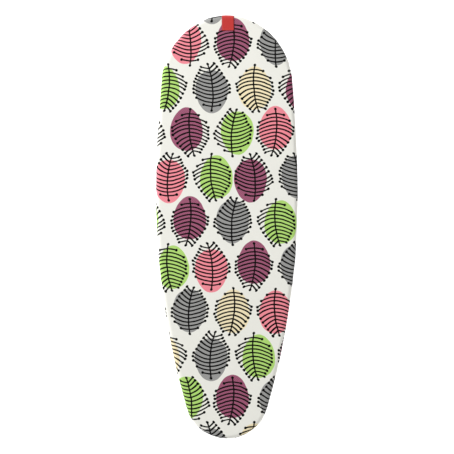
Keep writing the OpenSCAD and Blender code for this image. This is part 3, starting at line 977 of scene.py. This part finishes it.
# ---------------------------------------------------------------- metals and plastics
def painted(name, color, roughness, peel, metallic):
    """Powder coat with scuffs and slight changes of tone. peel is the depth of its orange peel in metres."""
    m = Material(name, color, roughness, metallic)
    where = m.places()
    skin = m.noise(where, 700.0, 2.0)
    tone = m.noise(where, 9.0, 3.0)
    scuff = m.noise(where, 60.0, 6.0, 0.75)
    darker = tuple(c * 0.93 for c in color)
    lighter = tuple(min(1.0, c * 1.04) for c in color)
    base = m.mix(tone, darker, lighter)
    worn = ((scuff - 0.66) * 8.0).clamp() * 0.35
    m.color(m.mix(worn, base, tuple(c * 0.72 for c in color)))
    m.roughness(tone * 0.10 + worn * 0.3 + (roughness - 0.05))
    m.bump(skin, peel, 0.5)
    return m.data


def zinc():
    """Zinc-plated steel with fine drawn lines and cloudy plating."""
    m = Material("zinc_plate", (0.60, 0.61, 0.62), 0.32, 1.0)
    where = m.places()
    x, y, z = m.split(where)
    drawn = m.noise(m.combine(x * 1400.0, y * 60.0, z * 1400.0), 1.0, 3.0, 0.6)
    clouds = m.noise(where, 70.0, 4.0)
    m.color(m.mix(clouds, (0.50, 0.51, 0.53), (0.68, 0.68, 0.67)))
    m.roughness(drawn * 0.14 + clouds * 0.12 + 0.20)
    m.bump(drawn, 0.00008, 0.4)
    return m.data


def dark_plastic():
    """Moulded dark grey plastic with a spark-eroded grain."""
    m = Material("dark_plastic", (0.030, 0.032, 0.034), 0.48)
    where = m.places()
    grain = m.noise(where, 1300.0, 2.0)
    tone = m.noise(where, 40.0, 3.0)
    m.color(m.mix(tone, (0.026, 0.028, 0.030), (0.042, 0.044, 0.047)))
    m.roughness(grain * 0.15 + tone * 0.08 + 0.38)
    m.bump(grain, 0.0001, 0.5)
    return m.data


def cap_rubber():
    """Black rubber, matt, with mould bloom and rubbed patches."""
    m = Material("cap_rubber", (0.022, 0.022, 0.023), 0.78, specular=0.35)
    where = m.places()
    bloom = m.noise(where, 55.0, 5.0, 0.65)
    pores = m.noise(where, 1600.0, 2.0)
    m.color(m.mix(bloom, (0.018, 0.018, 0.019), (0.052, 0.052, 0.052)))
    m.roughness(bloom * 0.2 + 0.65)
    m.bump(pores * 0.7 + bloom * 0.3, 0.00015, 0.6)
    return m.data


# ---------------------------------------------------------------- pieces
cover = make_cover()
cover.data.materials.append(printed_cloth())
pad = make_pad()
pad.data.materials.append(felt())
tape = make_tape()
tape.data.materials.append(elastic())
tag, tag_run = make_tag()
tag.data.materials.append(red_weave())

for piece in (cover, pad, tape, tag):
    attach(piece, "board")
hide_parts("cover")
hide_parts("foam_pad", "edge_padding")
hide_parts("hem_binding")
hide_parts("label_tag")
2 * (PLACE[:, 1].max() + HEM_END)
2 * (TIP_X + HEM_END)
flat_area()

# The finish for each material slot of the CAD parts that stay visible
FINISHES = {
    "plate_paint": painted("plate_paint", (0.44, 0.45, 0.47), 0.42, 0.00012, 0.2),
    "frame_paint": painted("frame_paint", (0.38, 0.39, 0.41), 0.36, 0.00010, 0.35),
    "leg_paint": painted("leg_paint", (0.40, 0.41, 0.43), 0.32, 0.00005, 0.5),
    "zinc": zinc(),
    "dark_plastic": dark_plastic(),
    "cap_rubber": cap_rubber(),
}
for part in frame["record"]["subparts"]:
    finish = FINISHES.get(part["material_slot"])
    if finish:
        node = frame["nodes"][part["node"]]
        node.data.materials.clear()
        node.data.materials.append(finish)


# ---------------------------------------------------------------- stage, light and camera
FLOOR_REACH = 30.0


def make_floor():
    """A wide pale floor, a little bright by itself, so that the ground stays white."""
    m = Material("pale_floor", (0.93, 0.93, 0.93), 0.9, specular=0.1)
    m.shader.inputs["Emission Color"].default_value = (1, 1, 1, 1)
    m.shader.inputs["Emission Strength"].default_value = 0.50
    corners = [(x * FLOOR_REACH, y * FLOOR_REACH, 0) for x, y in ((-1, -1), (1, -1), (1, 1), (-1, 1))]
    floor = new_object("floor", corners, [(0, 1, 2, 3)])
    floor.data.materials.append(m.data)


def area_light(name, place, target, size, power):
    """A square soft light that faces its target."""
    light = bpy.data.lights.new(name, "AREA")
    light.shape = "SQUARE"
    light.size = size
    light.energy = power
    lamp = bpy.data.objects.new(name, light)
    lamp.location = place
    aim = Vector(target) - Vector(place)
    lamp.rotation_euler = aim.to_track_quat("-Z", "Y").to_euler()
    bpy.context.scene.collection.objects.link(lamp)


def make_world(overhead):
    """White all round near the ground, dimmer overhead."""
    world = bpy.data.worlds.new("studio")
    world.use_nodes = True
    tree = world.node_tree
    upwards = tree.nodes.new("ShaderNodeSeparateXYZ")
    tree.links.new(tree.nodes.new("ShaderNodeTexCoord").outputs["Generated"], upwards.inputs[0])
    fade = tree.nodes.new("ShaderNodeValToRGB")
    white, dim = fade.color_ramp.elements
    white.position, white.color = 0.30, (1.0, 1.0, 1.0, 1)
    dim.position, dim.color = 0.75, (overhead, overhead, overhead, 1)
    tree.links.new(upwards.outputs[2], fade.inputs[0])
    tree.links.new(fade.outputs["Color"], tree.nodes["Background"].inputs["Color"])
    bpy.context.scene.world = world


# How high the camera is, and how much of the picture's height the board takes
CAMERA_HEIGHT = 4.0
BOARD_SHARE = 0.935


def make_camera():
    """Straight above the board, the wide end at the top of the picture."""
    camera = bpy.data.cameras.new("camera")
    wide = 2 * TIP_X / BOARD_SHARE
    camera.lens = camera.sensor_width * (CAMERA_HEIGHT - TOP_Z) / wide
    seen_from = bpy.data.objects.new("camera", camera)
    seen_from.location = (0.0, 0.0, CAMERA_HEIGHT)
    seen_from.rotation_euler = (0.0, 0.0, -math.pi / 2)
    bpy.context.scene.collection.objects.link(seen_from)
    bpy.context.scene.camera = seen_from


make_floor()
make_world(0.34)
area_light("key", (2.4, 3.4, 3.2), (0.2, 0.0, 0.88), 1.4, 195)
area_light("fill", (-2.5, -2.5, 3.0), (0.0, 0.0, 0.6), 2.5, 10)
make_camera()
bpy.context.scene.view_settings.view_transform = "Standard"
